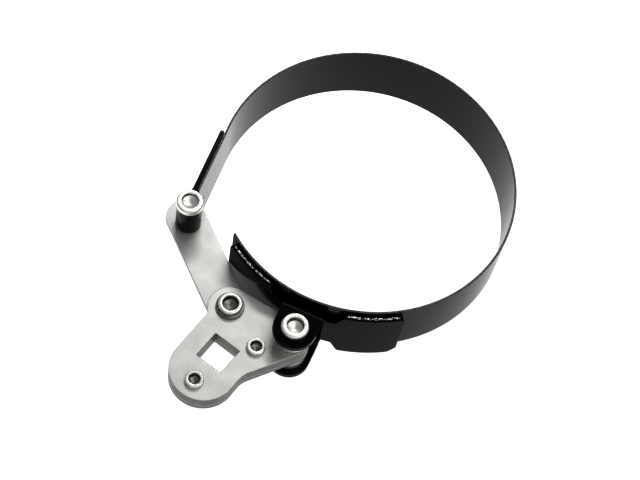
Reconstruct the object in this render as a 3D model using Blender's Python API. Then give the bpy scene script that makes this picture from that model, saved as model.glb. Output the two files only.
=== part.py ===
"""Band oil filter wrench, square driven: a split steel band closed by a lever and a link."""
import math

import bmesh
import bpy
from mathutils import Matrix, Vector

mm = 0.001

# clearances
touch_gap = 0.3 * mm
running_gap = 0.3 * mm
edge_break = 0.35 * mm
fine_break = 0.2 * mm
cut_margin = 1.0 * mm
merge_distance = 0.001 * mm
same_level = 0.02 * mm
sharp_edge_deg = 50.0

# band
bore_radius = 65.5 * mm
band_sheet = 1.0 * mm
band_height = 31.0 * mm
band_free_overhang = 2.86 * mm
flex_axes_deg = (-24.0, 26.0, 76.0, 126.0)
leave_circle_deg = 183.0
band_tip_setback = 7.3 * mm

# clevis bracket, one bent sheet
bracket_sheet = 2.5 * mm
bracket_rim_step = 3.2 * mm
bracket_drop = 2.2 * mm
bracket_mid_deg = -90.0
wing_stop_gap = 0.417 * mm
wing_overhang = 0.5 * mm
wing_low_chamfer = 3.4 * mm
wing_high_chamfer = 1.5 * mm
wing_corner_round = 2.0 * mm
relief_height = 5.9 * mm
relief_width = 4.2 * mm
relief_ramp = 3.2 * mm
relief_round = 1.4 * mm
ear_half_width = 9.4 * mm
ear_reach = 10.7 * mm
bend_radius = 4.6 * mm
bend_step_deg = 10.0
fold_inset = 0.3 * mm

# weld beads
bead_radius = 1.1 * mm
bead_from_deg = 14.5
bead_end_deg = 1.0
bead_sides = 10

# hinge strip with its rolled eye
strip_sheet = 2.0 * mm
strip_rim_step = 1.0 * mm
strip_top_deg = 185.5
strip_length = 37.9 * mm
eye_radius = 5.65 * mm
eye_inset = 0.9 * mm
eye_outer_flare = 6.0 * mm
eye_inner_flare = 1.5 * mm
flare_slack = 0.25 * mm

# lever stack, placed from the clevis pin
lever_sheet = 2.8 * mm
lever_end_radius = 7.6 * mm
link_pin_offset = (-30.2 * mm, 2.0 * mm)
drive_offset = (-25.7 * mm, -19.9 * mm)
drive_side = 12.9 * mm
drive_turn_deg = -13.8
lobe_offset = (-28.2 * mm, -28.9 * mm)
lobe_radius = 14.7 * mm
waist_offset = (-1.7 * mm, -30.2 * mm)
waist_radius = 11.5 * mm
neck_offset = (-40.9 * mm, -5.2 * mm)
neck_radius = 3.0 * mm
boss_radius = 9.6 * mm
inner_rivet_offset = (-12.3 * mm, -10.7 * mm)
outer_rivet_offset = (-29.3 * mm, -35.8 * mm)
spacer_corner = 1.0 * mm
spacer_open_deg = (250.0, -1.0)

# link
link_sheet = 2.2 * mm
link_half_width = 8.8 * mm
link_end_reach = 3.0 * mm
link_sweep_gap = 1.2 * mm
loop_play = 2.8 * mm

# pins
clevis_pin_radius = 4.6 * mm
link_pin_radius = 4.4 * mm
eye_pin_radius = 2.5 * mm
head_radius = 6.0 * mm
head_height = 2.7 * mm
link_head_radius = 5.1 * mm
link_head_height = 1.9 * mm
washer_radius = 6.2 * mm
washer_sheet = 1.0 * mm
recess_radius = 3.7 * mm
recess_depth = 4.2 * mm
shallow_recess = 1.9 * mm
cone_depth = 0.55 * mm
tail_height = 1.6 * mm
tail_spread = 1.4 * mm
rivet_radius = 3.3 * mm
rivet_head_radius = 4.0 * mm
rivet_head_height = 1.6 * mm
rivet_recess_radius = 2.5 * mm
rivet_recess_depth = 3.0 * mm
head_round_share = 0.25
head_round_inset = 0.6
spacer_wall = 2.0 * mm

# rounding of faceted curves
arc_step_deg = 6.0
band_step_deg = 2.5
pin_sides = 36
rivet_sides = 24

# levels, from the underside of the clevis pin's tail
ear_low = tail_height + touch_gap
bracket_height = band_height + bracket_drop - bracket_rim_step
ear_high = ear_low + bracket_height
band_low = ear_low + bracket_drop
band_high = band_low + band_height
band_mid = (band_low + band_high) / 2
stack_mid = (ear_low + ear_high) / 2
plate_pitch = lever_sheet + touch_gap
stack_half = 1.5 * lever_sheet + touch_gap
stack_low = stack_mid - stack_half
stack_high = stack_mid + stack_half
strip_height = band_height - 2 * strip_rim_step
strip_low = band_mid - strip_height / 2
strip_high = band_mid + strip_height / 2
knuckle_gap_half = link_sheet / 2 + running_gap

# radii around the band's axis
band_outer = bore_radius + band_sheet
sheet_inner = band_outer + touch_gap
wing_outer = sheet_inner + bracket_sheet
strip_outer = sheet_inner + strip_sheet


def polar(radius, degrees):
    angle = math.radians(degrees)
    return Vector((radius * math.cos(angle), radius * math.sin(angle)))


# joint centres, before the part is moved over its origin
clevis_pin = polar(wing_outer + ear_reach, bracket_mid_deg)
link_pin = clevis_pin + Vector(link_pin_offset)
strip_normal = polar(1.0, leave_circle_deg)
strip_run = Vector((-strip_normal.y, strip_normal.x))
eye_pin = strip_normal * (sheet_inner + strip_sheet / 2 - eye_inset) + strip_run * (strip_length + eye_radius)
link_run = (eye_pin - link_pin).normalized()
link_end = eye_pin + link_run * link_end_reach

# the open stop: the wings end just short of the link's edge
link_inward = Vector((link_run.y, -link_run.x))
stop_distance = -link_pin.dot(link_inward) - link_half_width - wing_stop_gap
stop_foot_deg = math.degrees(math.atan2(-link_inward.y, -link_inward.x))
stop_spread_deg = math.degrees(math.acos(min(1.0, stop_distance / wing_outer)))
wing_reach_deg = bracket_mid_deg - stop_foot_deg - stop_spread_deg
band_free_end_deg = bracket_mid_deg - wing_reach_deg - math.degrees(band_free_overhang / bore_radius)

# the part stands on its lowest face, centred on its box
box_left = link_end.x - link_half_width
box_right = band_outer
box_front = clevis_pin.y + lobe_offset[1] - lobe_radius
box_back = band_outer
shift = Vector((-(box_left + box_right) / 2, -(box_front + box_back) / 2, 0.0))

finishes = {
    "band_black": ((0.035, 0.036, 0.038), 0.35, 0.6),
    "bracket_black": ((0.02, 0.02, 0.022), 0.3, 0.3),
    "lever_satin": ((0.62, 0.62, 0.6), 0.45, 0.9),
    "pin_bright": ((0.75, 0.75, 0.74), 0.2, 1.0),
    "weld_steel": ((0.3, 0.3, 0.31), 0.4, 0.8),
}


def make_material(name, finish):
    colour, roughness, metallic = finishes[finish]
    material = bpy.data.materials.new(name)
    material.use_nodes = True
    shader = material.node_tree.nodes["Principled BSDF"]
    shader.inputs["Base Color"].default_value = (*colour, 1.0)
    shader.inputs["Roughness"].default_value = roughness
    shader.inputs["Metallic"].default_value = metallic
    material.diffuse_color = (*colour, 1.0)
    return material


def arc_points(centre, radius, start, end, step_deg=arc_step_deg):
    """Points from angle start to angle end, both in radians, ends included."""
    count = max(1, math.ceil(abs(end - start) / math.radians(step_deg)))
    turns = [start + (end - start) * index / count for index in range(count + 1)]
    return [Vector((centre[0] + radius * math.cos(turn), centre[1] + radius * math.sin(turn))) for turn in turns]


def belt_outline(circles):
    """Closed outline round (centre, signed radius) circles, taken counter-clockwise.

    A positive radius is a rounded outside corner, a negative one a hollow."""
    count = len(circles)
    headings = []
    for index in range(count):
        here, here_radius = circles[index]
        after, after_radius = circles[(index + 1) % count]
        way = Vector(after) - Vector(here)
        lean = (here_radius - after_radius) / way.length
        headings.append(math.atan2(way.y, way.x) + math.asin(max(-1.0, min(1.0, lean))))
    points = []
    for index in range(count):
        centre, radius = circles[index]
        start = headings[index - 1] - math.pi / 2
        end = headings[index] - math.pi / 2
        if radius > 0:
            while end < start:
                end += 2 * math.pi
            while end - start > 2 * math.pi:
                end -= 2 * math.pi
            points += arc_points(centre, radius, start, end)
        else:
            while end > start:
                end -= 2 * math.pi
            while start - end > 2 * math.pi:
                end += 2 * math.pi
            points += arc_points(centre, -radius, start + math.pi, end + math.pi)
    return points


def fillet_outline(corners):
    """Closed outline through (x, y, rounding) corners."""
    points = []
    count = len(corners)
    for index in range(count):
        corner = Vector(corners[index][:2])
        rounding = corners[index][2]
        back = (Vector(corners[index - 1][:2]) - corner).normalized()
        ahead = (Vector(corners[(index + 1) % count][:2]) - corner).normalized()
        if rounding <= 0:
            points.append(corner)
            continue
        half = back.angle(ahead) / 2
        centre = corner + (back + ahead).normalized() * (rounding / math.sin(half))
        reach = rounding / math.tan(half)
        first = corner + back * reach - centre
        last = corner + ahead * reach - centre
        start = math.atan2(first.y, first.x)
        sweep = first.angle_signed(last)
        points += arc_points(centre, rounding, start, start - sweep, 2 * arc_step_deg)
    return points


def clean(points):
    kept = []
    for point in points:
        if not kept or (point - kept[-1]).length > same_level:
            kept.append(point)
    if (kept[0] - kept[-1]).length <= same_level:
        kept.pop()
    return kept


def finish_mesh(name, mesh, finish):
    bmesh.ops.remove_doubles(mesh, verts=mesh.verts, dist=merge_distance)
    bmesh.ops.recalc_face_normals(mesh, faces=mesh.faces)
    bmesh.ops.translate(mesh, vec=shift, verts=mesh.verts)
    data = bpy.data.meshes.new(name)
    mesh.to_mesh(data)
    mesh.free()
    item = bpy.data.objects.new(name, data)
    bpy.context.scene.collection.objects.link(item)
    if finish:
        data.materials.append(make_material(name, finish))
    return item


def extruded(outline, low, high):
    mesh = bmesh.new()
    ring = [mesh.verts.new((point.x, point.y, low)) for point in clean(outline)]
    face = mesh.faces.new(ring)
    grown = bmesh.ops.extrude_face_region(mesh, geom=[face])
    raised = [item for item in grown["geom"] if isinstance(item, bmesh.types.BMVert)]
    bmesh.ops.translate(mesh, vec=Vector((0, 0, high - low)), verts=raised)
    bmesh.ops.recalc_face_normals(mesh, faces=mesh.faces)
    return mesh


def ring_outline(inner, outer, start_deg, end_deg, step_deg=band_step_deg):
    start = math.radians(start_deg)
    end = math.radians(end_deg)
    outside = arc_points((0, 0), outer, start, end, step_deg)
    inside = arc_points((0, 0), inner, end, start, step_deg)
    return outside + inside


def turned(profile, centre, sides=pin_sides):
    """Solid of revolution round a vertical axis; the profile runs axis to axis."""
    mesh = bmesh.new()
    points = [mesh.verts.new((centre[0] + radius, centre[1], level)) for radius, level in profile]
    edges = [mesh.edges.new((points[index], points[index + 1])) for index in range(len(points) - 1)]
    bmesh.ops.spin(
        mesh,
        geom=points + edges,
        cent=(centre[0], centre[1], 0),
        axis=(0, 0, 1),
        angle=2 * math.pi,
        steps=sides,
        use_merge=True,
        use_duplicate=False,
    )
    bmesh.ops.remove_doubles(mesh, verts=mesh.verts, dist=same_level)
    bmesh.ops.recalc_face_normals(mesh, faces=mesh.faces)
    return mesh


def make_cutter(name, mesh):
    item = finish_mesh(name, mesh, None)
    item.hide_render = True
    item.display_type = "WIRE"
    return item


def cylinder_cutter(name, centre, radius, low, high):
    profile = [(0, low), (radius, low), (radius, high), (0, high)]
    return make_cutter(name, turned(profile, centre))


def combine(target, other, operation):
    modifier = target.modifiers.new(other.name, "BOOLEAN")
    modifier.operation = operation
    modifier.object = other
    modifier.solver = "EXACT"


def add_bevel(item, rounding):
    bevel = item.modifiers.new("edges", "BEVEL")
    bevel.width = rounding
    bevel.segments = 1
    bevel.limit_method = "ANGLE"
    bevel.angle_limit = math.radians(sharp_edge_deg)
    bevel.use_clamp_overlap = True


def bake(item, tools=()):
    """Turns the modifiers into plain geometry and removes the helpers."""
    graph = bpy.context.evaluated_depsgraph_get()
    solid = bpy.data.meshes.new_from_object(item.evaluated_get(graph))
    old = item.data
    item.modifiers.clear()
    item.data = solid
    bpy.data.meshes.remove(old)
    for tool in tools:
        bpy.data.objects.remove(tool)


def set_origin(item, spot):
    """Moves the object's origin to a joint's centre and leaves the shape where it is."""
    place = Vector((spot[0] + shift.x, spot[1] + shift.y, 0))
    item.data.transform(Matrix.Translation(-place))
    item.location = place


def build_band():
    first = flex_axes_deg[0]
    joint_half_deg = math.degrees(touch_gap / 2 / (bore_radius + band_sheet / 2))
    runs = [("band_fixed_run", band_free_end_deg, first - joint_half_deg)]
    for index in range(len(flex_axes_deg) - 1):
        start = flex_axes_deg[index] + joint_half_deg
        end = flex_axes_deg[index + 1] - joint_half_deg
        runs.append((f"band_flex_run_{index + 1}", start, end))
    for name, start, end in runs:
        mesh = extruded(ring_outline(bore_radius, band_outer, start, end), band_low, band_high)
        item = finish_mesh(name, mesh, "band_black")
        if name != runs[0][0]:
            hinge_deg = flex_axes_deg[int(name[-1]) - 1]
            set_origin(item, polar(bore_radius + band_sheet / 2, hinge_deg))
    last = flex_axes_deg[-1]
    start = math.radians(last + joint_half_deg)
    end = math.radians(leave_circle_deg)
    run_end = strip_length + eye_radius - band_tip_setback
    outside = arc_points((0, 0), band_outer, start, end, band_step_deg)
    outside.append(strip_normal * band_outer + strip_run * run_end)
    inside = arc_points((0, 0), bore_radius, end, start, band_step_deg)
    inside.insert(0, strip_normal * bore_radius + strip_run * run_end)
    item = finish_mesh("band_hinged_run", extruded(outside + inside, band_low, band_high), "band_black")
    window = window_cutter()
    combine(item, window, "DIFFERENCE")
    bake(item, (window,))
    set_origin(item, polar(bore_radius + band_sheet / 2, last))


def window_cutter():
    """Room for the link's round end in the knuckle and in the end of the band."""
    reach = link_end_reach + link_half_width + loop_play + running_gap
    low = stack_mid - knuckle_gap_half
    return cylinder_cutter("link_window", eye_pin, reach, low, stack_mid + knuckle_gap_half)


def wrapped_sheet(outline, inner, sheet, middle_deg):
    """Bends a flat outline of (arc length, level) round the band's axis."""
    mesh = bmesh.new()
    ring = [mesh.verts.new((point.x, 0, point.y)) for point in clean(outline)]
    face = mesh.faces.new(ring)
    grown = bmesh.ops.extrude_face_region(mesh, geom=[face])
    raised = [item for item in grown["geom"] if isinstance(item, bmesh.types.BMVert)]
    bmesh.ops.translate(mesh, vec=Vector((0, sheet, 0)), verts=raised)
    reach = max(point.x for point in outline)
    slice_width = math.radians(band_step_deg) * inner
    slices = math.floor(reach / slice_width)
    for index in range(-slices, slices + 1):
        everything = mesh.verts[:] + mesh.edges[:] + mesh.faces[:]
        bmesh.ops.bisect_plane(
            mesh, geom=everything, dist=same_level, plane_co=(index * slice_width, 0, 0), plane_no=(1, 0, 0)
        )
    middle = math.radians(middle_deg)
    for vert in mesh.verts:
        turn = middle + vert.co.x / inner
        radius = inner + vert.co.y
        vert.co = (radius * math.cos(turn), radius * math.sin(turn), vert.co.z)
    bmesh.ops.triangulate(mesh, faces=mesh.faces[:])
    return mesh


def bracket_outline():
    """Wings and web laid flat, arc length against level, counter-clockwise."""
    wing_low = ear_low - wing_overhang
    wing_high = ear_high + wing_overhang
    tongue = bend_radius
    reach = math.radians(wing_reach_deg) * sheet_inner
    root = ear_half_width
    relief = root + relief_width
    ramp = relief + relief_ramp
    right = [
        (root, ear_low + tongue, 0),
        (root, ear_low + relief_height, 0),
        (relief, ear_low + relief_height, relief_round),
        (ramp, wing_low, relief_round),
        (reach - wing_low_chamfer, wing_low, wing_corner_round),
        (reach, wing_low + wing_low_chamfer, wing_corner_round),
        (reach, wing_high - wing_high_chamfer, 0),
        (reach - wing_high_chamfer, wing_high, 0),
        (ramp, wing_high, relief_round),
        (relief, ear_high - relief_height, relief_round),
        (root, ear_high - relief_height, 0),
        (root, ear_high - tongue, 0),
    ]
    left = [(-across, level, rounding) for across, level, rounding in reversed(right)]
    return fillet_outline(right + left)


def clevis_profile():
    """Half the folded sheet as (distance from the band's axis, level), one ear with its bend."""
    leg = sheet_inner + fold_inset
    centre = (leg + bend_radius, ear_high - bend_radius)
    outside = arc_points(centre, bend_radius, math.pi, math.pi / 2, bend_step_deg)
    inside = arc_points(centre, bend_radius - bracket_sheet, math.pi / 2, math.pi, bend_step_deg)
    tip = -clevis_pin.y + ear_half_width + cut_margin
    return outside + [Vector((tip, ear_high)), Vector((tip, ear_high - bracket_sheet))] + inside


def clevis_mesh():
    """The sheet folded into two ears, wider than the ears and square at their ends."""
    upper = clevis_profile()
    lower = [Vector((point.x, ear_low + ear_high - point.y)) for point in reversed(upper)]
    width = ear_half_width + cut_margin
    mesh = bmesh.new()
    ring = [mesh.verts.new((-width, -point.x, point.y)) for point in clean(upper + lower)]
    grown = bmesh.ops.extrude_face_region(mesh, geom=[mesh.faces.new(ring)])
    moved = [item for item in grown["geom"] if isinstance(item, bmesh.types.BMVert)]
    bmesh.ops.translate(mesh, vec=Vector((2 * width, 0, 0)), verts=moved)
    return mesh


def ear_outline():
    """Plan of the clevis: straight sides and a round end about the pin."""
    outline = arc_points(clevis_pin, ear_half_width, math.pi, 2 * math.pi)
    root = -sheet_inner + cut_margin
    return outline + [Vector((ear_half_width, root)), Vector((-ear_half_width, root))]


def build_bracket():
    low = ear_low - cut_margin
    high = ear_high + cut_margin
    sheet = wrapped_sheet(bracket_outline(), sheet_inner, bracket_sheet, bracket_mid_deg)
    bracket = finish_mesh("clevis_bracket", sheet, "bracket_black")
    clevis = finish_mesh("clevis", clevis_mesh(), None)
    plan = make_cutter("ear_plan", extruded(ear_outline(), low, high))
    combine(clevis, plan, "INTERSECT")
    bake(clevis, (plan,))
    hole = cylinder_cutter("clevis_hole", clevis_pin, clevis_pin_radius + running_gap, low, high)
    combine(bracket, clevis, "UNION")
    combine(bracket, hole, "DIFFERENCE")
    bake(bracket, (clevis, hole))
    for side, name in ((-1, "weld_bead_left"), (1, "weld_bead_right")):
        first = bracket_mid_deg + side * bead_from_deg
        last = bracket_mid_deg + side * (wing_reach_deg - bead_end_deg)
        build_bead(name, min(first, last), max(first, last))


def build_bead(name, start_deg, end_deg):
    radius = band_outer + touch_gap + bead_radius
    level = ear_high + wing_overhang + touch_gap + bead_radius
    mesh = bmesh.new()
    ring = []
    for index in range(bead_sides):
        turn = 2 * math.pi * index / bead_sides
        spot = polar(radius + bead_radius * math.cos(turn), start_deg)
        ring.append(mesh.verts.new((spot.x, spot.y, level + bead_radius * math.sin(turn))))
    edges = [mesh.edges.new((ring[index - 1], ring[index])) for index in range(bead_sides)]
    mesh.faces.new(ring)
    sweep = math.radians(end_deg - start_deg)
    steps = math.ceil((end_deg - start_deg) / band_step_deg)
    result = bmesh.ops.spin(
        mesh, geom=edges, cent=(0, 0, 0), axis=(0, 0, 1), angle=sweep, steps=steps, use_merge=False
    )
    last_ring = [item for item in result["geom_last"] if isinstance(item, bmesh.types.BMEdge)]
    bmesh.ops.holes_fill(mesh, edges=last_ring, sides=0)
    finish_mesh(name, mesh, "weld_steel")


def build_strip():
    inner_line = sheet_inner
    corner = strip_sheet / 2 - fine_break
    top_run = strip_outer * math.sin(math.radians(strip_top_deg - leave_circle_deg))
    eye_along = eye_pin.dot(strip_run)
    eye_across = eye_pin.dot(strip_normal)

    def spot(across, along):
        return strip_normal * across + strip_run * along

    outer_gap = strip_outer + eye_outer_flare - eye_across
    outer_back = math.sqrt(max(0.0, (eye_radius + eye_outer_flare) ** 2 - outer_gap**2)) + flare_slack
    inner_gap = eye_across - (inner_line - eye_inner_flare)
    inner_back = math.sqrt(max(0.0, (eye_radius + eye_inner_flare) ** 2 - inner_gap**2)) + flare_slack
    circles = [
        (spot(inner_line + corner, top_run + corner), corner),
        (spot(strip_outer - corner, top_run + corner), corner),
        (spot(strip_outer + eye_outer_flare, eye_along - outer_back), -eye_outer_flare),
        (eye_pin, eye_radius),
        (spot(inner_line - eye_inner_flare, eye_along - inner_back), -eye_inner_flare),
    ]
    strip = finish_mesh("hinge_strip", extruded(belt_outline(circles), strip_low, strip_high), "bracket_black")
    hole = cylinder_cutter(
        "eye_hole", eye_pin, eye_pin_radius + running_gap, strip_low - cut_margin, strip_high + cut_margin
    )
    window = window_cutter()
    combine(strip, hole, "DIFFERENCE")
    combine(strip, window, "DIFFERENCE")
    bake(strip, (hole, window))
    set_origin(strip, polar(bore_radius + band_sheet / 2, flex_axes_deg[-1]))


def lever_spot(offset):
    return clevis_pin + Vector(offset)


def drive_cutter():
    half = drive_side / 2
    centre = lever_spot(drive_offset)
    turn = Matrix.Rotation(math.radians(drive_turn_deg), 2)
    corners = [(-half, -half), (half, -half), (half, half), (-half, half)]
    outline = [centre + turn @ Vector(corner) for corner in corners]
    return make_cutter("drive_hole", extruded(outline, stack_low - cut_margin, stack_high + cut_margin))


def plate_circles():
    return [
        (lever_spot((0, 0)), lever_end_radius),
        (link_pin, boss_radius),
        (lever_spot(neck_offset), -neck_radius),
        (lever_spot(lobe_offset), lobe_radius),
        (lever_spot(waist_offset), -waist_radius),
    ]


def spacer_circles():
    reach = link_half_width + link_sweep_gap + spacer_corner
    first, second = spacer_open_deg
    clear_left = link_pin + polar(reach, first)
    clear_right = link_pin + polar(reach, second)
    return [
        (lever_spot((0, 0)), lever_end_radius),
        (clear_right, spacer_corner),
        (link_pin, -(link_half_width + link_sweep_gap - fine_break)),
        (clear_left, spacer_corner),
        (lever_spot(lobe_offset), lobe_radius),
        (lever_spot(waist_offset), -waist_radius),
    ]


def lever_plate(name, circles, low, holes):
    item = finish_mesh(name, extruded(belt_outline(circles), low, low + lever_sheet), "lever_satin")
    tools = [drive_cutter()]
    cut_low = low - cut_margin
    cut_high = low + lever_sheet + cut_margin
    for index, (centre, radius) in enumerate(holes):
        tools.append(cylinder_cutter(f"hole_{index}", centre, radius + running_gap, cut_low, cut_high))
    for tool in tools:
        combine(item, tool, "DIFFERENCE")
    add_bevel(item, edge_break)
    bake(item, tools)
    set_origin(item, clevis_pin)


def build_lever():
    rivets = [(lever_spot(inner_rivet_offset), rivet_radius), (lever_spot(outer_rivet_offset), rivet_radius)]
    main_pins = [(clevis_pin, clevis_pin_radius)]
    link_hole = [(link_pin, link_pin_radius)]
    lever_plate("lever_top_plate", plate_circles(), stack_low + 2 * plate_pitch, rivets + main_pins + link_hole)
    lever_plate("lever_spacer_plate", spacer_circles(), stack_low + plate_pitch, rivets + main_pins)
    lever_plate("lever_bottom_plate", plate_circles(), stack_low, rivets + main_pins + link_hole)


def build_link():
    low = stack_mid - link_sheet / 2
    circles = [(link_end, link_half_width), (link_pin, link_half_width)]
    link = finish_mesh("link_bar", extruded(belt_outline(circles), low, low + link_sheet), "lever_satin")
    near = cylinder_cutter(
        "near_hole", link_pin, link_pin_radius + running_gap, low - cut_margin, low + link_sheet + cut_margin
    )
    far = cylinder_cutter(
        "far_hole", eye_pin, eye_pin_radius + loop_play, low - cut_margin, low + link_sheet + cut_margin
    )
    combine(link, near, "DIFFERENCE")
    combine(link, far, "DIFFERENCE")
    add_bevel(link, fine_break)
    bake(link, (near, far))
    set_origin(link, link_pin)


def pin_profile(shank, head, head_low, head_top, recess, depth, tail_low, tail_high):
    """Headed pin with a drilled head and a peened tail, axis to axis."""
    round_off = (head_top - head_low) * head_round_share
    tail = shank + tail_spread
    return [
        (0, tail_low),
        (tail - round_off, tail_low),
        (tail, tail_low + round_off),
        (tail, tail_high),
        (shank, tail_high),
        (shank, head_low),
        (head, head_low),
        (head, head_top - 2 * round_off),
        (head - round_off * head_round_inset, head_top - round_off * head_round_inset),
        (head - 2 * round_off, head_top),
        (recess + fine_break, head_top),
        (recess, head_top - fine_break),
        (recess, head_top - depth),
        (0, head_top - depth - cone_depth),
    ]


def build_pins():
    head_low = ear_high + touch_gap
    profile = pin_profile(
        clevis_pin_radius,
        head_radius,
        head_low,
        head_low + head_height,
        recess_radius,
        recess_depth,
        ear_low - touch_gap - tail_height,
        ear_low - touch_gap,
    )
    finish_mesh("clevis_pin", turned(profile, clevis_pin), "pin_bright")

    head_low = strip_high + touch_gap
    profile = pin_profile(
        eye_pin_radius,
        head_radius,
        head_low,
        head_low + head_height,
        recess_radius,
        shallow_recess,
        strip_low - touch_gap - tail_height,
        strip_low - touch_gap,
    )
    item = finish_mesh("eye_pin", turned(profile, eye_pin), "pin_bright")
    set_origin(item, polar(bore_radius + band_sheet / 2, flex_axes_deg[-1]))

    washer_low = stack_high + touch_gap
    hole = link_pin_radius + running_gap
    ring = [(hole, washer_low), (washer_radius, washer_low), (washer_radius, washer_low + washer_sheet)]
    ring += [(hole, washer_low + washer_sheet), (hole, washer_low)]
    item = finish_mesh("link_pin_washer", turned(ring, link_pin), "pin_bright")
    set_origin(item, clevis_pin)
    head_low = washer_low + washer_sheet + touch_gap
    profile = pin_profile(
        link_pin_radius,
        link_head_radius,
        head_low,
        head_low + link_head_height,
        recess_radius,
        recess_depth,
        stack_low - touch_gap - tail_height,
        stack_low - touch_gap,
    )
    item = finish_mesh("link_pin", turned(profile, link_pin), "pin_bright")
    set_origin(item, clevis_pin)

    head_low = stack_high + touch_gap
    for name, offset in (("lever_rivet_inner", inner_rivet_offset), ("lever_rivet_outer", outer_rivet_offset)):
        profile = pin_profile(
            rivet_radius,
            rivet_head_radius,
            head_low,
            head_low + rivet_head_height,
            rivet_recess_radius,
            rivet_recess_depth,
            stack_low - touch_gap - tail_height,
            stack_low - touch_gap,
        )
        item = finish_mesh(name, turned(profile, lever_spot(offset), rivet_sides), "pin_bright")
        set_origin(item, clevis_pin)


def build_sleeves():
    hole = clevis_pin_radius + running_gap
    outer = hole + spacer_wall
    levels = (
        ("clevis_sleeve_upper", stack_high + touch_gap, ear_high - bracket_sheet - touch_gap),
        ("clevis_sleeve_lower", ear_low + bracket_sheet + touch_gap, stack_low - touch_gap),
    )
    for name, low, high in levels:
        ring = [(hole, low), (outer, low), (outer, high), (hole, high), (hole, low)]
        finish_mesh(name, turned(ring, clevis_pin), "pin_bright")


for item in list(bpy.data.objects):
    bpy.data.objects.remove(item)
build_band()
build_bracket()
build_strip()
build_lever()
build_link()
build_pins()
build_sleeves()
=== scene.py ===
import math

import bmesh
import bpy
from mathutils import Euler, Matrix, Vector, noise


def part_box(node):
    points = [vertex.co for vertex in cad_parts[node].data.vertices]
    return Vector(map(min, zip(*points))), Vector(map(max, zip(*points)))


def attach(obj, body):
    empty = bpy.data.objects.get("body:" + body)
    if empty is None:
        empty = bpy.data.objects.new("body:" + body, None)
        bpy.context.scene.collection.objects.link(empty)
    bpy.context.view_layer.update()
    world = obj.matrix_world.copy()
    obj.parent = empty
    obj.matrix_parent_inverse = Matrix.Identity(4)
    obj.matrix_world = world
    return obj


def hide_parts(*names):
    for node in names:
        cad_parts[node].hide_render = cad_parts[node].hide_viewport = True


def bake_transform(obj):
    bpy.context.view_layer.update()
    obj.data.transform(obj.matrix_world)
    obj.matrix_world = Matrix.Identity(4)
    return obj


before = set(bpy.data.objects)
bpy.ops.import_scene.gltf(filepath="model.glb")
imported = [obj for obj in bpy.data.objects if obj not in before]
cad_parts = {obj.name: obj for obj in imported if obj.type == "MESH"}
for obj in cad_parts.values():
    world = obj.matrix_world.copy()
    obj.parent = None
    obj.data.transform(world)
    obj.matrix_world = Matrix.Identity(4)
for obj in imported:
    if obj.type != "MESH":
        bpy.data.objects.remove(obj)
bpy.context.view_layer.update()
mm = 0.001
scene = bpy.context.scene


def hexColour(code):  # sRGB hex to the linear colour that shaders use
    parts = [int(code[at:at + 2], 16) / 255 for at in (1, 3, 5)]
    return [*(p / 12.92 if p <= 0.04045 else ((p + 0.055) / 1.055) ** 2.4 for p in parts), 1.0]


def addNode(tree, kind, values=None, links=None, **settings):
    node = tree.nodes.new(kind)
    for key, value in settings.items():
        setattr(node, key, value)
    for key, value in (values or {}).items():
        node.inputs[key].default_value = value
    for key, source in (links or {}).items():
        tree.links.new(source, node.inputs[key])
    return node


def grain(tree, place, size, detail=2.0, stretch=(1.0, 1.0, 1.0)):  # noise with features of about size metres
    mapped = addNode(tree, "ShaderNodeMapping", {"Scale": stretch}, {"Vector": place})
    return addNode(
        tree, "ShaderNodeTexNoise", {"Scale": 1.0 / size, "Detail": detail, "Roughness": 0.6},
        {"Vector": mapped.outputs["Vector"]},
    ).outputs["Fac"]


def between(tree, factor, low, high, fromLow=0.3, fromHigh=0.7):
    return addNode(
        tree, "ShaderNodeMapRange",
        {"From Min": fromLow, "From Max": fromHigh, "To Min": low, "To Max": high}, {"Value": factor},
    ).outputs["Result"]


def mixColours(tree, factor, first, second):
    colours = {6: hexColour(first), 7: hexColour(second)}
    return addNode(tree, "ShaderNodeMix", colours, {0: factor}, data_type="RGBA").outputs[2]


def combine(tree, operation, first, second=None, by=0.0):  # a maths node on two sockets, or on one and a number
    if second is None:
        return addNode(tree, "ShaderNodeMath", {1: by}, {0: first}, operation=operation).outputs[0]
    return addNode(tree, "ShaderNodeMath", {}, {0: first, 1: second}, operation=operation).outputs[0]


def addBump(tree, shader, height, distance, strength):
    bump = addNode(tree, "ShaderNodeBump", {"Distance": distance, "Strength": strength}, {"Height": height})
    tree.links.new(bump.outputs["Normal"], shader.inputs["Normal"])


def polar(radius, degrees, level=0.0):
    turn = math.radians(degrees)
    return Vector((radius * math.cos(turn), radius * math.sin(turn), level))


def middleOf(node):
    low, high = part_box(node)
    return (low + high) / 2


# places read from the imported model
clevisSpot = middleOf("clevis_pin")
eyeSpot = middleOf("eye_pin")
pinToAxis = 80.0 * mm
bandAxis = Vector((clevisSpot.x, clevisSpot.y + pinToAxis, 0.0))
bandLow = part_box("band_flex_run_1")[0].z
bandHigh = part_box("band_flex_run_1")[1].z

studio = {
    "cameraFromAxis": (0.06856, -0.38933, 0.68845),
    "cameraTurn": (28.191, -6.1235, 23.3667),
    "lens": 97.33,
    "floorSize": 3.0,
    "floorColour": "#1c1c1c",
    "floorRoughness": 0.9,
    "glowColour": "#ffffff",
    "glowRange": (1.02, 1.9),
    "glowFrom": (0.05, -0.02),
    "glowTo": (-0.08, 0.1),
    "worldColour": "#ffffff",
    "worldStrength": 0.43,
    "displayGamma": 0.68,
    "lamps": {
        # name: (place, size in metres, watts)
        "topPanel": ((0.4, 0.05, 1.1), (0.5, 0.5), 3.0),
        "backPanel": ((-0.1, 0.6, 0.86), (0.6, 0.12), 2.5),
        "frontPanel": ((0.1, -0.8, 0.8), (0.9, 0.5), 1.8),
    },
}


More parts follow.
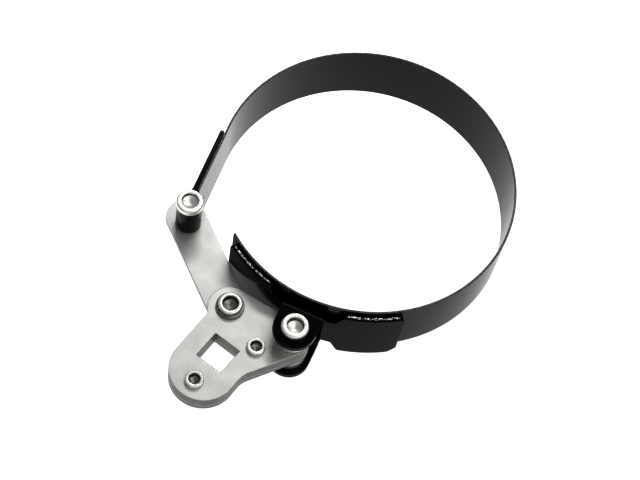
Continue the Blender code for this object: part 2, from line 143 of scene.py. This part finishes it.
def buildCamera():
    camera = bpy.data.cameras.new("camera")
    camera.lens = studio["lens"]
    holder = bpy.data.objects.new("camera", camera)
    holder.location = bandAxis + Vector(studio["cameraFromAxis"])
    holder.rotation_euler = Euler([math.radians(turn) for turn in studio["cameraTurn"]])
    scene.collection.objects.link(holder)
    scene.camera = holder
    scene.view_settings.view_transform = "Standard"
    scene.view_settings.gamma = studio["displayGamma"]  # under 1, so the picture's dark tones go deeper


def buildWorld():
    world = bpy.data.worlds.new("studioLight")
    world.use_nodes = True
    backdrop = world.node_tree.nodes["Background"]
    backdrop.inputs["Color"].default_value = hexColour(studio["worldColour"])
    backdrop.inputs["Strength"].default_value = studio["worldStrength"]
    scene.world = world


def buildFloor():  # a light table, brighter at the back left
    mesh = bmesh.new()
    bmesh.ops.create_grid(mesh, x_segments=2, y_segments=2, size=studio["floorSize"] / 2)
    data = bpy.data.meshes.new("floor")
    mesh.to_mesh(data)
    mesh.free()
    floor = bpy.data.objects.new("floor", data)
    scene.collection.objects.link(floor)
    paper = bpy.data.materials.new("lightTable")
    paper.use_nodes = True
    shader = paper.node_tree.nodes["Principled BSDF"]
    shader.inputs["Base Color"].default_value = hexColour(studio["floorColour"])
    shader.inputs["Roughness"].default_value = studio["floorRoughness"]
    shader.inputs["Emission Color"].default_value = hexColour(studio["glowColour"])
    start, end = Vector(studio["glowFrom"]), Vector(studio["glowTo"])
    run = end - start
    tree = paper.node_tree
    place = addNode(tree, "ShaderNodeTexCoord").outputs["Object"]
    slope = {1: (*(run / run.length_squared), 0.0)}
    along = addNode(tree, "ShaderNodeVectorMath", slope, {0: place}, operation="DOT_PRODUCT").outputs["Value"]
    offset = start.dot(run) / run.length_squared
    glow = between(tree, along, *studio["glowRange"], offset, offset + 1.0)
    tree.links.new(glow, shader.inputs["Emission Strength"])
    data.materials.append(paper)


def buildLamps():
    for name, (place, size, power) in studio["lamps"].items():
        light = bpy.data.lights.new(name, "AREA")
        light.shape = "RECTANGLE"
        light.size, light.size_y = size
        light.energy = power
        lamp = bpy.data.objects.new(name, light)
        lamp.location = place
        lamp.rotation_euler = (-Vector(place)).to_track_quat("-Z", "Y").to_euler()
        scene.collection.objects.link(lamp)


buildCamera()
buildWorld()
buildFloor()
buildLamps()
print("studio ready")


def startMaterial(name):
    material = bpy.data.materials.new(name)
    material.use_nodes = True
    tree = material.node_tree
    place = addNode(tree, "ShaderNodeTexCoord").outputs["Object"]
    return material, tree, tree.nodes["Principled BSDF"], place


plateFinish = {
    "light": "#d4d4d2", "dark": "#c4c4c2", "grit": 0.45 * mm, "cloud": 9.0 * mm, "roughness": (0.4, 0.52),
    "cloudFrom": (0.75, 1.25), "bump": (0.02 * mm, 0.5),
}


def blastedZincSteel():  # zinc plate over blasted steel: pale, satin, a fine even grit and faint clouds
    material, tree, shader, place = startMaterial("blastedZincSteel")
    shader.inputs["Metallic"].default_value = 1.0
    grit = grain(tree, place, plateFinish["grit"], 3.0)
    cloud = grain(tree, place, plateFinish["cloud"], 2.0)
    both = between(tree, combine(tree, "ADD", grit, cloud), 0.0, 1.0, *plateFinish["cloudFrom"])
    colour = mixColours(tree, both, plateFinish["dark"], plateFinish["light"])
    tree.links.new(colour, shader.inputs["Base Color"])
    tree.links.new(between(tree, grit, *plateFinish["roughness"]), shader.inputs["Roughness"])
    addBump(tree, shader, grit, *plateFinish["bump"])
    return material


# tones of the blanked edge, darker than the top: partly the edge's own finish, partly painted shade
edgeFinish = {
    "light": "#9a9a98", "dark": "#5e5e5c", "line": 0.35 * mm, "run": 14.0, "roughness": (0.34, 0.5),
    "bump": (0.03 * mm, 0.5),
}


def shearedZincSteelPaintedShade():  # the blanked edge of the same plate: fine drag lines along it, and a darker tone that is partly the edge's own finish and partly painted shade on these upright faces
    material, tree, shader, place = startMaterial("shearedZincSteelPaintedShade")
    shader.inputs["Metallic"].default_value = 1.0
    run = 1.0 / edgeFinish["run"]
    lines = grain(tree, place, edgeFinish["line"], 2.0, (run, run, 1.0))
    colour = mixColours(tree, between(tree, lines, 0.0, 1.0), edgeFinish["dark"], edgeFinish["light"])
    tree.links.new(colour, shader.inputs["Base Color"])
    tree.links.new(between(tree, lines, *edgeFinish["roughness"]), shader.inputs["Roughness"])
    addBump(tree, shader, lines, *edgeFinish["bump"])
    return material


blackFinish = {
    "base": "#040405", "dusty": "#161617", "peel": 1.1 * mm, "dust": 0.5 * mm,
    "roughness": (0.14, 0.22), "dustFrom": (0.45, 0.85), "bump": (0.02 * mm, 0.35),
    "shine": 0.1,  # well under real enamel's 0.5, so that the glowing floor isn't mirrored in the near walls
}


def glossBlackEnamel():  # baked enamel on the bent sheet: deep black with a slight orange peel
    material, tree, shader, place = startMaterial("glossBlackEnamel")
    shader.inputs["Specular IOR Level"].default_value = blackFinish["shine"]
    peel = grain(tree, place, blackFinish["peel"], 1.0)
    dust = grain(tree, place, blackFinish["dust"], 3.0)
    dust = between(tree, dust, 0.0, 1.0, *blackFinish["dustFrom"])
    coat = mixColours(tree, dust, blackFinish["base"], blackFinish["dusty"])
    tree.links.new(coat, shader.inputs["Base Color"])
    tree.links.new(between(tree, peel, *blackFinish["roughness"]), shader.inputs["Roughness"])
    addBump(tree, shader, peel, *blackFinish["bump"])
    return material


# the pale rim colour stands for worn paint and also for a painted highlight on the rims
bandFinish = {
    "base": "#0b0b0c", "sheen": "#141415", "bareAndHighlight": "#6d6d6c", "rimDepth": 0.28 * mm,
    "roll": 0.6 * mm, "peel": 1.4 * mm, "roughness": (0.14, 0.2), "bump": (0.015 * mm, 0.3),
    "along": (0.03, 0.03, 1.0), "patch": (0.45, 1.0), "patchFrom": (0.35, 0.6), "fullyBareAndHighlight": 0.3,
    "shine": 0.2,  # under real paint's 0.5, for the same reason
}


def blackSpringSteel():  # painted strip: satin black, faint rolling lines, and paler slit edges, partly paint worn thin there and partly a painted highlight
    material, tree, shader, place = startMaterial("blackSpringSteel")
    shader.inputs["Specular IOR Level"].default_value = bandFinish["shine"]
    lines = grain(tree, place, bandFinish["roll"], 2.0, bandFinish["along"])
    peel = grain(tree, place, bandFinish["peel"], 2.0)
    coat = mixColours(tree, between(tree, lines, 0.0, 1.0), bandFinish["base"], bandFinish["sheen"])
    level = addNode(tree, "ShaderNodeSeparateXYZ", {}, {0: place}).outputs["Z"]
    middle = (bandLow + bandHigh) / 2
    away = combine(tree, "ABSOLUTE", combine(tree, "ADD", level, by=-middle))
    half = (bandHigh - bandLow) / 2
    rim = bandFinish["rimDepth"]
    # paler near the top and bottom edges, in patches: partly worn paint, partly a painted highlight along the
    # rims
    wornAndHighlight = between(tree, away, 0.0, 1.0, half - rim, half - bandFinish["fullyBareAndHighlight"] * rim)
    patch = between(tree, peel, *bandFinish["patch"], *bandFinish["patchFrom"])
    wornAndHighlight = combine(tree, "MULTIPLY", wornAndHighlight, patch)
    bareAndHighlight = {7: hexColour(bandFinish["bareAndHighlight"])}
    mixed = addNode(tree, "ShaderNodeMix", bareAndHighlight, {0: wornAndHighlight, 6: coat}, data_type="RGBA").outputs[2]
    tree.links.new(mixed, shader.inputs["Base Color"])
    tree.links.new(between(tree, peel, *bandFinish["roughness"]), shader.inputs["Roughness"])
    addBump(tree, shader, peel, *bandFinish["bump"])
    return material


pinFinish = {
    "light": "#e6e5e2", "dark": "#cfcecb", "ring": 0.42 * mm, "spot": 0.5 * mm, "roughness": (0.3, 0.4),
    "bump": (0.0015 * mm, 0.5),
}


def turnedZincSteel():  # bright zinc on turned pins: shiny, with the tool's fine rings round the axis
    material, tree, shader, place = startMaterial("turnedZincSteel")
    shader.inputs["Metallic"].default_value = 1.0
    reach = addNode(tree, "ShaderNodeAttribute", attribute_name="turnRadius").outputs["Fac"]
    rings = combine(tree, "SINE", combine(tree, "MULTIPLY", reach, by=2 * math.pi / pinFinish["ring"]))
    spots = grain(tree, place, pinFinish["spot"], 3.0)
    colour = mixColours(tree, between(tree, spots, 0.0, 1.0), pinFinish["dark"], pinFinish["light"])
    tree.links.new(colour, shader.inputs["Base Color"])
    tree.links.new(between(tree, spots, *pinFinish["roughness"]), shader.inputs["Roughness"])
    addBump(tree, shader, rings, *pinFinish["bump"])
    return material


# greys for painted shade in the pins' recesses and on the washer under the link pin's head
paintedShadeFinish = {
    "light": "#a3a2a0", "dark": "#62615f", "mark": 0.4 * mm, "roughness": (0.3, 0.5),
    "along": (0.3, 0.3, 2.0), "bump": (0.02 * mm, 0.4),
}


def paintedShadeSteel():  # grey steel in the drilled recesses and on the washer, greyer than the plated heads: the grey is painted shade
    material, tree, shader, place = startMaterial("paintedShadeSteel")
    shader.inputs["Metallic"].default_value = 1.0
    marks = grain(tree, place, paintedShadeFinish["mark"], 2.0, paintedShadeFinish["along"])
    colour = mixColours(tree, between(tree, marks, 0.0, 1.0), paintedShadeFinish["dark"], paintedShadeFinish["light"])
    tree.links.new(colour, shader.inputs["Base Color"])
    tree.links.new(between(tree, marks, *paintedShadeFinish["roughness"]), shader.inputs["Roughness"])
    addBump(tree, shader, marks, *paintedShadeFinish["bump"])
    return material


# the light tone is a painted glint on the crests
weldFinish = {
    "light": "#e4e3df", "dark": "#0c0c0c", "spatter": 0.8 * mm, "roughness": (0.16, 0.34),
    "crestFrom": (0.42, 0.55), "bump": (0.08 * mm, 0.6),
}


def weldMetal():  # uncoated weld metal: bright crests, which are painted glints, and darker hollows with a little scale left in them
    material, tree, shader, place = startMaterial("weldMetal")
    shader.inputs["Metallic"].default_value = 1.0
    scale = grain(tree, place, weldFinish["spatter"], 3.0)
    # bright where the noise is high: painted glints on the crests
    paintedGlint = between(tree, scale, 0.0, 1.0, *weldFinish["crestFrom"])
    colour = mixColours(tree, paintedGlint, weldFinish["dark"], weldFinish["light"])
    tree.links.new(colour, shader.inputs["Base Color"])
    tree.links.new(between(tree, scale, *weldFinish["roughness"]), shader.inputs["Roughness"])
    addBump(tree, shader, scale, *weldFinish["bump"])
    return material


plateTop = blastedZincSteel()
plateEdge = shearedZincSteelPaintedShade()
enamel = glossBlackEnamel()
bandPaint = blackSpringSteel()
pinMetal = turnedZincSteel()
beadMetal = weldMetal()
paintedShadeMetal = paintedShadeSteel()
print("finishes ready")


def finishPiece(name, mesh, materials, body=None, stands=(), sharp=35.0):
    for face in mesh.faces:
        face.smooth = True
    data = bpy.data.meshes.new(name)
    mesh.to_mesh(data)
    mesh.free()
    data.set_sharp_from_angle(angle=math.radians(sharp))
    for material in materials:
        data.materials.append(material)
    piece = bpy.data.objects.new(name, data)
    scene.collection.objects.link(piece)
    modifier = piece.modifiers.new("evenShading", "WEIGHTED_NORMAL")
    modifier.keep_sharp = True
    if body:
        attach(piece, body)
    if stands:
        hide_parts(*stands)
    return piece


merging = {"distance": 0.004 * mm, "flatDegrees": 0.6, "turnedDistance": 0.003 * mm}


def mergedCopy(node):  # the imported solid's own shape with its loose triangles joined up
    mesh = bmesh.new()
    mesh.from_mesh(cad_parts[node].data)
    bmesh.ops.remove_doubles(mesh, verts=mesh.verts, dist=merging["distance"])
    flat = math.radians(merging["flatDegrees"])
    bmesh.ops.dissolve_limit(
        mesh, angle_limit=flat, verts=mesh.verts, edges=mesh.edges, use_dissolve_boundaries=False
    )
    return mesh


def roundEdges(mesh, width, segments, above):  # rounds every edge that turns by more than above degrees
    limit = math.radians(above)
    edges = [edge for edge in mesh.edges if len(edge.link_faces) == 2 and edge.calc_face_angle() > limit]
    bmesh.ops.bevel(
        mesh, geom=edges, offset=width, segments=segments, profile=0.5, affect="EDGES", material=-1,
        clamp_overlap=True,
    )


def carve(mesh, tool):  # takes the tool's shape out of the mesh
    items = []
    for name, shape in (("blank", mesh), ("tool", tool)):
        data = bpy.data.meshes.new(name)
        shape.to_mesh(data)
        shape.free()
        items.append(bpy.data.objects.new(name, data))
        scene.collection.objects.link(items[-1])
    cut = items[0].modifiers.new("cut", "BOOLEAN")
    cut.operation = "DIFFERENCE"
    cut.solver = "EXACT"
    cut.object = items[1]
    carved = bmesh.new()
    carved.from_object(items[0], bpy.context.evaluated_depsgraph_get())
    for item in items:
        bpy.data.meshes.remove(item.data)
    return carved


band = {
    "inner": 65.5 * mm,
    "sheet": 1.0 * mm,
    "edgeRound": 0.3 * mm,
    "freeEnd": -128.5,
    "cuts": (-49.0, 1.0, 51.0, 101.0, 151.0),
    "leaves": 183.0,
    "tail": 36.2 * mm,
    "slotReach": 14.9 * mm,
    "slotHalf": 1.4 * mm,
    "step": 0.5,
    "roundSteps": 3,
    "slotSides": 96,
}


def bandSection(mesh, degrees):
    outer = band["inner"] + band["sheet"]
    corners = [(band["inner"], bandLow), (outer, bandLow), (outer, bandHigh), (band["inner"], bandHigh)]
    ring = [mesh.verts.new(bandAxis + polar(radius, degrees, level)) for radius, level in corners]
    face = mesh.faces.new(ring)
    bmesh.ops.bevel(
        mesh, geom=ring, offset=band["edgeRound"], segments=band["roundSteps"], profile=0.5,
        affect="VERTICES", material=-1,
    )
    return mesh.faces[:]


def bandRun(start, end):  # a stretch of the strip, and the faces that close its far end
    mesh = bmesh.new()
    faces = bandSection(mesh, start)
    geometry = faces + mesh.edges[:] + mesh.verts[:]
    swept = bmesh.ops.spin(
        mesh, geom=geometry, cent=bandAxis, axis=(0, 0, 1), angle=math.radians(end - start),
        steps=round((end - start) / band["step"]), use_merge=False,
    )
    return mesh, [item for item in swept["geom_last"] if isinstance(item, bmesh.types.BMFace)]


def buildBand():
    cuts = band["cuts"]
    mesh, _ = bandRun(band["freeEnd"], cuts[0])
    bmesh.ops.recalc_face_normals(mesh, faces=mesh.faces)
    finishPiece("bandHeel", mesh, [bandPaint], "clevis_side", ["band_fixed_run"])
    for index in range(4):
        mesh, _ = bandRun(cuts[index], cuts[index + 1])
        bmesh.ops.recalc_face_normals(mesh, faces=mesh.faces)
        piece = finishPiece("bandBend%d" % (index + 1), mesh, [bandPaint])
        if index < 3:
            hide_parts("band_flex_run_%d" % (index + 1))
        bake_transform(piece)
    mesh, ends = bandRun(cuts[4], band["leaves"])
    along = polar(1.0, band["leaves"] + 90)
    grown = bmesh.ops.extrude_face_region(mesh, geom=ends)
    tip = [item for item in grown["geom"] if isinstance(item, bmesh.types.BMVert)]
    bmesh.ops.translate(mesh, verts=tip, vec=along * band["tail"])
    bmesh.ops.delete(mesh, geom=[face for face in ends if face.is_valid], context="FACES_ONLY")
    bmesh.ops.recalc_face_normals(mesh, faces=mesh.faces)
    slot = bmesh.new()
    place = Matrix.Translation((eyeSpot.x, eyeSpot.y, middleOf("link_bar").z))
    bmesh.ops.create_cone(
        slot, cap_ends=True, radius1=band["slotReach"], radius2=band["slotReach"], depth=2 * band["slotHalf"],
        segments=band["slotSides"], matrix=place,
    )
    mesh = carve(mesh, slot)  # room for the round end of the link
    finishPiece("bandTip", mesh, [bandPaint], "hinged_end", ["band_hinged_run"])


buildBand()
print("band ready")

bracket = {
    "edgeRound": 0.45 * mm, "stripRound": 0.35 * mm, "steps": 2, "roundAbove": 40, "stripRoundAbove": 50,
}


def buildBracket():
    mesh = mergedCopy("clevis_bracket")
    roundEdges(mesh, bracket["edgeRound"], bracket["steps"], bracket["roundAbove"])
    finishPiece("clevisBracket", mesh, [enamel], "clevis_side", ["clevis_bracket"], sharp=50)
    mesh = mergedCopy("hinge_strip")
    roundEdges(mesh, bracket["stripRound"], bracket["steps"], bracket["stripRoundAbove"])
    finishPiece("hingeStrip", mesh, [enamel], "hinged_end", ["hinge_strip"], sharp=50)


buildBracket()
print("bracket and hinge strip ready")

lever = {"sideLimit": 0.5}  # a face whose normal rises less than this is a blanked edge


def buildPlates():
    pieces = (
        ("leverTopPlate", "lever_top_plate", "lever"),
        ("leverSpacerPlate", "lever_spacer_plate", "lever"),
        ("leverBottomPlate", "lever_bottom_plate", "lever"),
        ("linkBar", "link_bar", "link"),
    )
    for name, node, body in pieces:
        mesh = mergedCopy(node)
        mesh.normal_update()
        for face in mesh.faces:
            # upright faces take the edge finish, whose darker tone is partly painted shade
            face.material_index = 1 if abs(face.normal.z) < lever["sideLimit"] else 0
        finishPiece(name, mesh, [plateTop, plateEdge], body, [node], sharp=50)


buildPlates()
print("lever and link ready")

pins = {  # radii and heights in millimetres
    "sides": 96,
    "clevis": {"shank": 4.6, "head": 6.0, "height": 2.7, "recess": 3.7, "depth": 3.2, "tail": 6.0},
    "link": {"shank": 4.4, "head": 5.1, "height": 1.9, "recess": 3.5, "depth": 3.2, "tail": 5.8},
    "eye": {"shank": 2.5, "head": 6.0, "height": 2.7, "recess": 3.7, "depth": 1.9, "tail": 3.9},
    "rivet": {"shank": 3.3, "head": 4.0, "height": 1.6, "recess": 2.5, "depth": 2.7, "tail": 4.7},
    # pins whose recess floor also takes the painted shade
    "greyFloor": ("link", "rivet"),
    "tailHeight": 1.6,
    "roundShare": 0.28,
    "roundStep": 15,
    "underBreak": 0.15,
    "cone": 0.55,
    "coneTip": 0.25,
    "floorStep": 0.35,
    "floorFillet": 0.12,
    "lipDrop": 0.35,
    "uprightLimit": 0.2,
    "wallSlack": 0.05,
    "washer": {"inner": 4.7, "outer": 6.2, "edge": 0.3},
    "sleeve": {"inner": 4.9, "outer": 6.9, "edge": 0.3},
}


def turnedMesh(profile, centre):
    mesh = bmesh.new()
    chain = [mesh.verts.new((centre.x + radius * mm, centre.y, level)) for radius, level in profile]
    edges = [mesh.edges.new(pair) for pair in zip(chain, chain[1:])]
    bmesh.ops.spin(
        mesh, geom=chain + edges, cent=(centre.x, centre.y, 0), axis=(0, 0, 1), angle=2 * math.pi,
        steps=pins["sides"], use_merge=True,
    )
    bmesh.ops.remove_doubles(mesh, verts=mesh.verts, dist=merging["turnedDistance"])
    bmesh.ops.recalc_face_normals(mesh, faces=mesh.faces)
    return mesh


def stampRadius(piece, centre):  # lets the finish draw its rings round this pin's own axis
    layer = piece.data.attributes.new("turnRadius", "FLOAT", "POINT")
    for index, vert in enumerate(piece.data.vertices):
        layer.data[index].value = math.hypot(vert.co.x - centre.x, vert.co.y - centre.y)


def pinProfile(kind, node):  # (radius in millimetres, level) points from the foot round to the recess floor
    shape = pins[kind]
    low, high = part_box(node)
    top, bottom = high.z, low.z
    head, tail, shank, recess = shape["head"], shape["tail"], shape["shank"], shape["recess"]
    headLow = top - shape["height"] * mm
    tailTop = bottom + pins["tailHeight"] * mm
    floor = top - shape["depth"] * mm
    roundOff = shape["height"] * pins["roundShare"]
    turns = [math.radians(angle) for angle in range(0, 91, pins["roundStep"])]
    arc = [(roundOff * (1 - math.cos(turn)), roundOff * (1 - math.sin(turn))) for turn in turns]
    shoulder = [(head - inset, top - drop * mm) for inset, drop in arc]
    foot = [(tail - inset, bottom + drop * mm) for inset, drop in reversed(arc)]
    lip, under, step, cone = pins["lipDrop"], pins["underBreak"], pins["floorStep"], pins["cone"]
    return [
        (0, bottom), *foot, (tail, tailTop), (shank, tailTop), (shank, headLow),
        (head - under, headLow), (head, headLow + under * mm), *shoulder,
        (recess + lip, top), (recess + 0.35 * lip, top - 0.12 * lip * mm), (recess, top - lip * mm),
        (recess, floor + step * mm), (recess - pins["floorFillet"], floor + 0.4 * step * mm),
        (recess - step, floor), (pins["coneTip"], floor - cone * mm), (0, floor - cone * 1.05 * mm),
    ]


def ringProfile(kind, node):
    inner, outer, edge = pins[kind]["inner"], pins[kind]["outer"], pins[kind]["edge"]
    low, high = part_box(node)
    return [
        (inner, low.z), (outer - edge, low.z), (outer, low.z + edge * mm), (outer, high.z - edge * mm),
        (outer - edge * 0.3, high.z - edge * 0.3 * mm), (outer - edge, high.z), (inner + edge * 0.5, high.z),
        (inner, high.z - edge * 0.5 * mm), (inner, low.z),
    ]


def buildHeads():
    heads = (
        ("clevisPin", "clevis_pin", "clevis", "clevis_side"),
        ("linkPin", "link_pin", "link", "lever"),
        ("eyePin", "eye_pin", "eye", "hinged_end"),
        ("leverRivetInner", "lever_rivet_inner", "rivet", "lever"),
        ("leverRivetOuter", "lever_rivet_outer", "rivet", "lever"),
    )
    for name, node, kind, body in heads:
        centre = middleOf(node)
        mesh = turnedMesh(pinProfile(kind, node), centre)
        reach = (pins[kind]["recess"] + pins["wallSlack"]) * mm
        for face in mesh.faces:  # the recess wall takes the grey steel that is painted shade, and on some pins its floor too
            spot = face.calc_center_median()
            inside = spot.z > centre.z and (spot - centre).to_2d().length < reach
            upright = abs(face.normal.z) < pins["uprightLimit"]
            face.material_index = 1 if inside and (upright or kind in pins["greyFloor"]) else 0
        piece = finishPiece(name, mesh, [pinMetal, paintedShadeMetal], body, [node])
        stampRadius(piece, centre)


def buildRings():
    rings = (
        # the washer takes the grey steel that is painted shade under the link pin's head
        ("linkPinWasher", "link_pin_washer", "washer", "lever", paintedShadeMetal),
        ("clevisSleeveUpper", "clevis_sleeve_upper", "sleeve", "clevis_side", pinMetal),
        ("clevisSleeveLower", "clevis_sleeve_lower", "sleeve", "clevis_side", pinMetal),
    )
    for name, node, kind, body, metal in rings:
        centre = middleOf(node)
        mesh = turnedMesh(ringProfile(kind, node), centre)
        piece = finishPiece(name, mesh, [metal], body, [node])
        stampRadius(piece, centre)


buildHeads()
buildRings()
print("pins ready")

weld = {
    "radius": 0.6 * mm, "offset": 1.9 * mm, "sides": 14, "step": 0.35, "endDegrees": 0.6, "ripple": 1.9,
    "depth": 0.22 * mm, "lump": 0.3 * mm, "lumpSize": 1.3 * mm, "lumpLevel": 0.35,
    "taper": 1.2, "endShare": 0.35,
}


def degreesRound(place):  # angle round the band's axis
    return math.degrees(math.atan2(place.y - bandAxis.y, place.x - bandAxis.x))


def swell(place, start, end):  # how thick the bead is there: rippled, lumpy and thin at its ends
    turn = degreesRound(place)
    wave = abs(math.sin(math.pi * (turn - start) / weld["ripple"]))
    lump = noise.noise(place / weld["lumpSize"])
    nearEnd = min(1.0, min(turn - start, end - turn) / weld["taper"] + weld["endShare"])
    return nearEnd * (1.0 - weld["depth"] / weld["radius"] * (1.0 - wave)
                      + weld["lump"] / weld["radius"] * (lump - weld["lumpLevel"]))


def buildBeads():
    middle = band["inner"] + band["sheet"] + weld["offset"]
    for name, node in (("weldBeadLeft", "weld_bead_left"), ("weldBeadRight", "weld_bead_right")):
        turns = [degreesRound(vert.co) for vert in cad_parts[node].data.vertices]
        start, end = min(turns) + weld["endDegrees"], max(turns) - weld["endDegrees"]
        level = middleOf(node).z
        mesh = bmesh.new()
        ring = bmesh.ops.create_circle(
            mesh, cap_ends=True, radius=weld["radius"], segments=weld["sides"]
        )["verts"]
        place = Matrix.Translation(bandAxis + polar(middle, start, level))
        turned = Matrix.Rotation(math.radians(start), 4, "Z") @ Matrix.Rotation(math.radians(90), 4, "X")
        bmesh.ops.transform(mesh, matrix=place @ turned, verts=ring)
        bmesh.ops.spin(
            mesh, geom=mesh.faces[:] + mesh.edges[:] + mesh.verts[:], cent=bandAxis, axis=(0, 0, 1),
            angle=math.radians(end - start), steps=round((end - start) / weld["step"]), use_merge=False,
        )
        for vert in mesh.verts:
            heart = bandAxis + polar(middle, degreesRound(vert.co), level)
            vert.co = heart + (vert.co - heart) * swell(vert.co, start, end)
        bmesh.ops.recalc_face_normals(mesh, faces=mesh.faces)
        finishPiece(name, mesh, [beadMetal], "clevis_side", [node], sharp=75)


buildBeads()
print("weld beads ready")
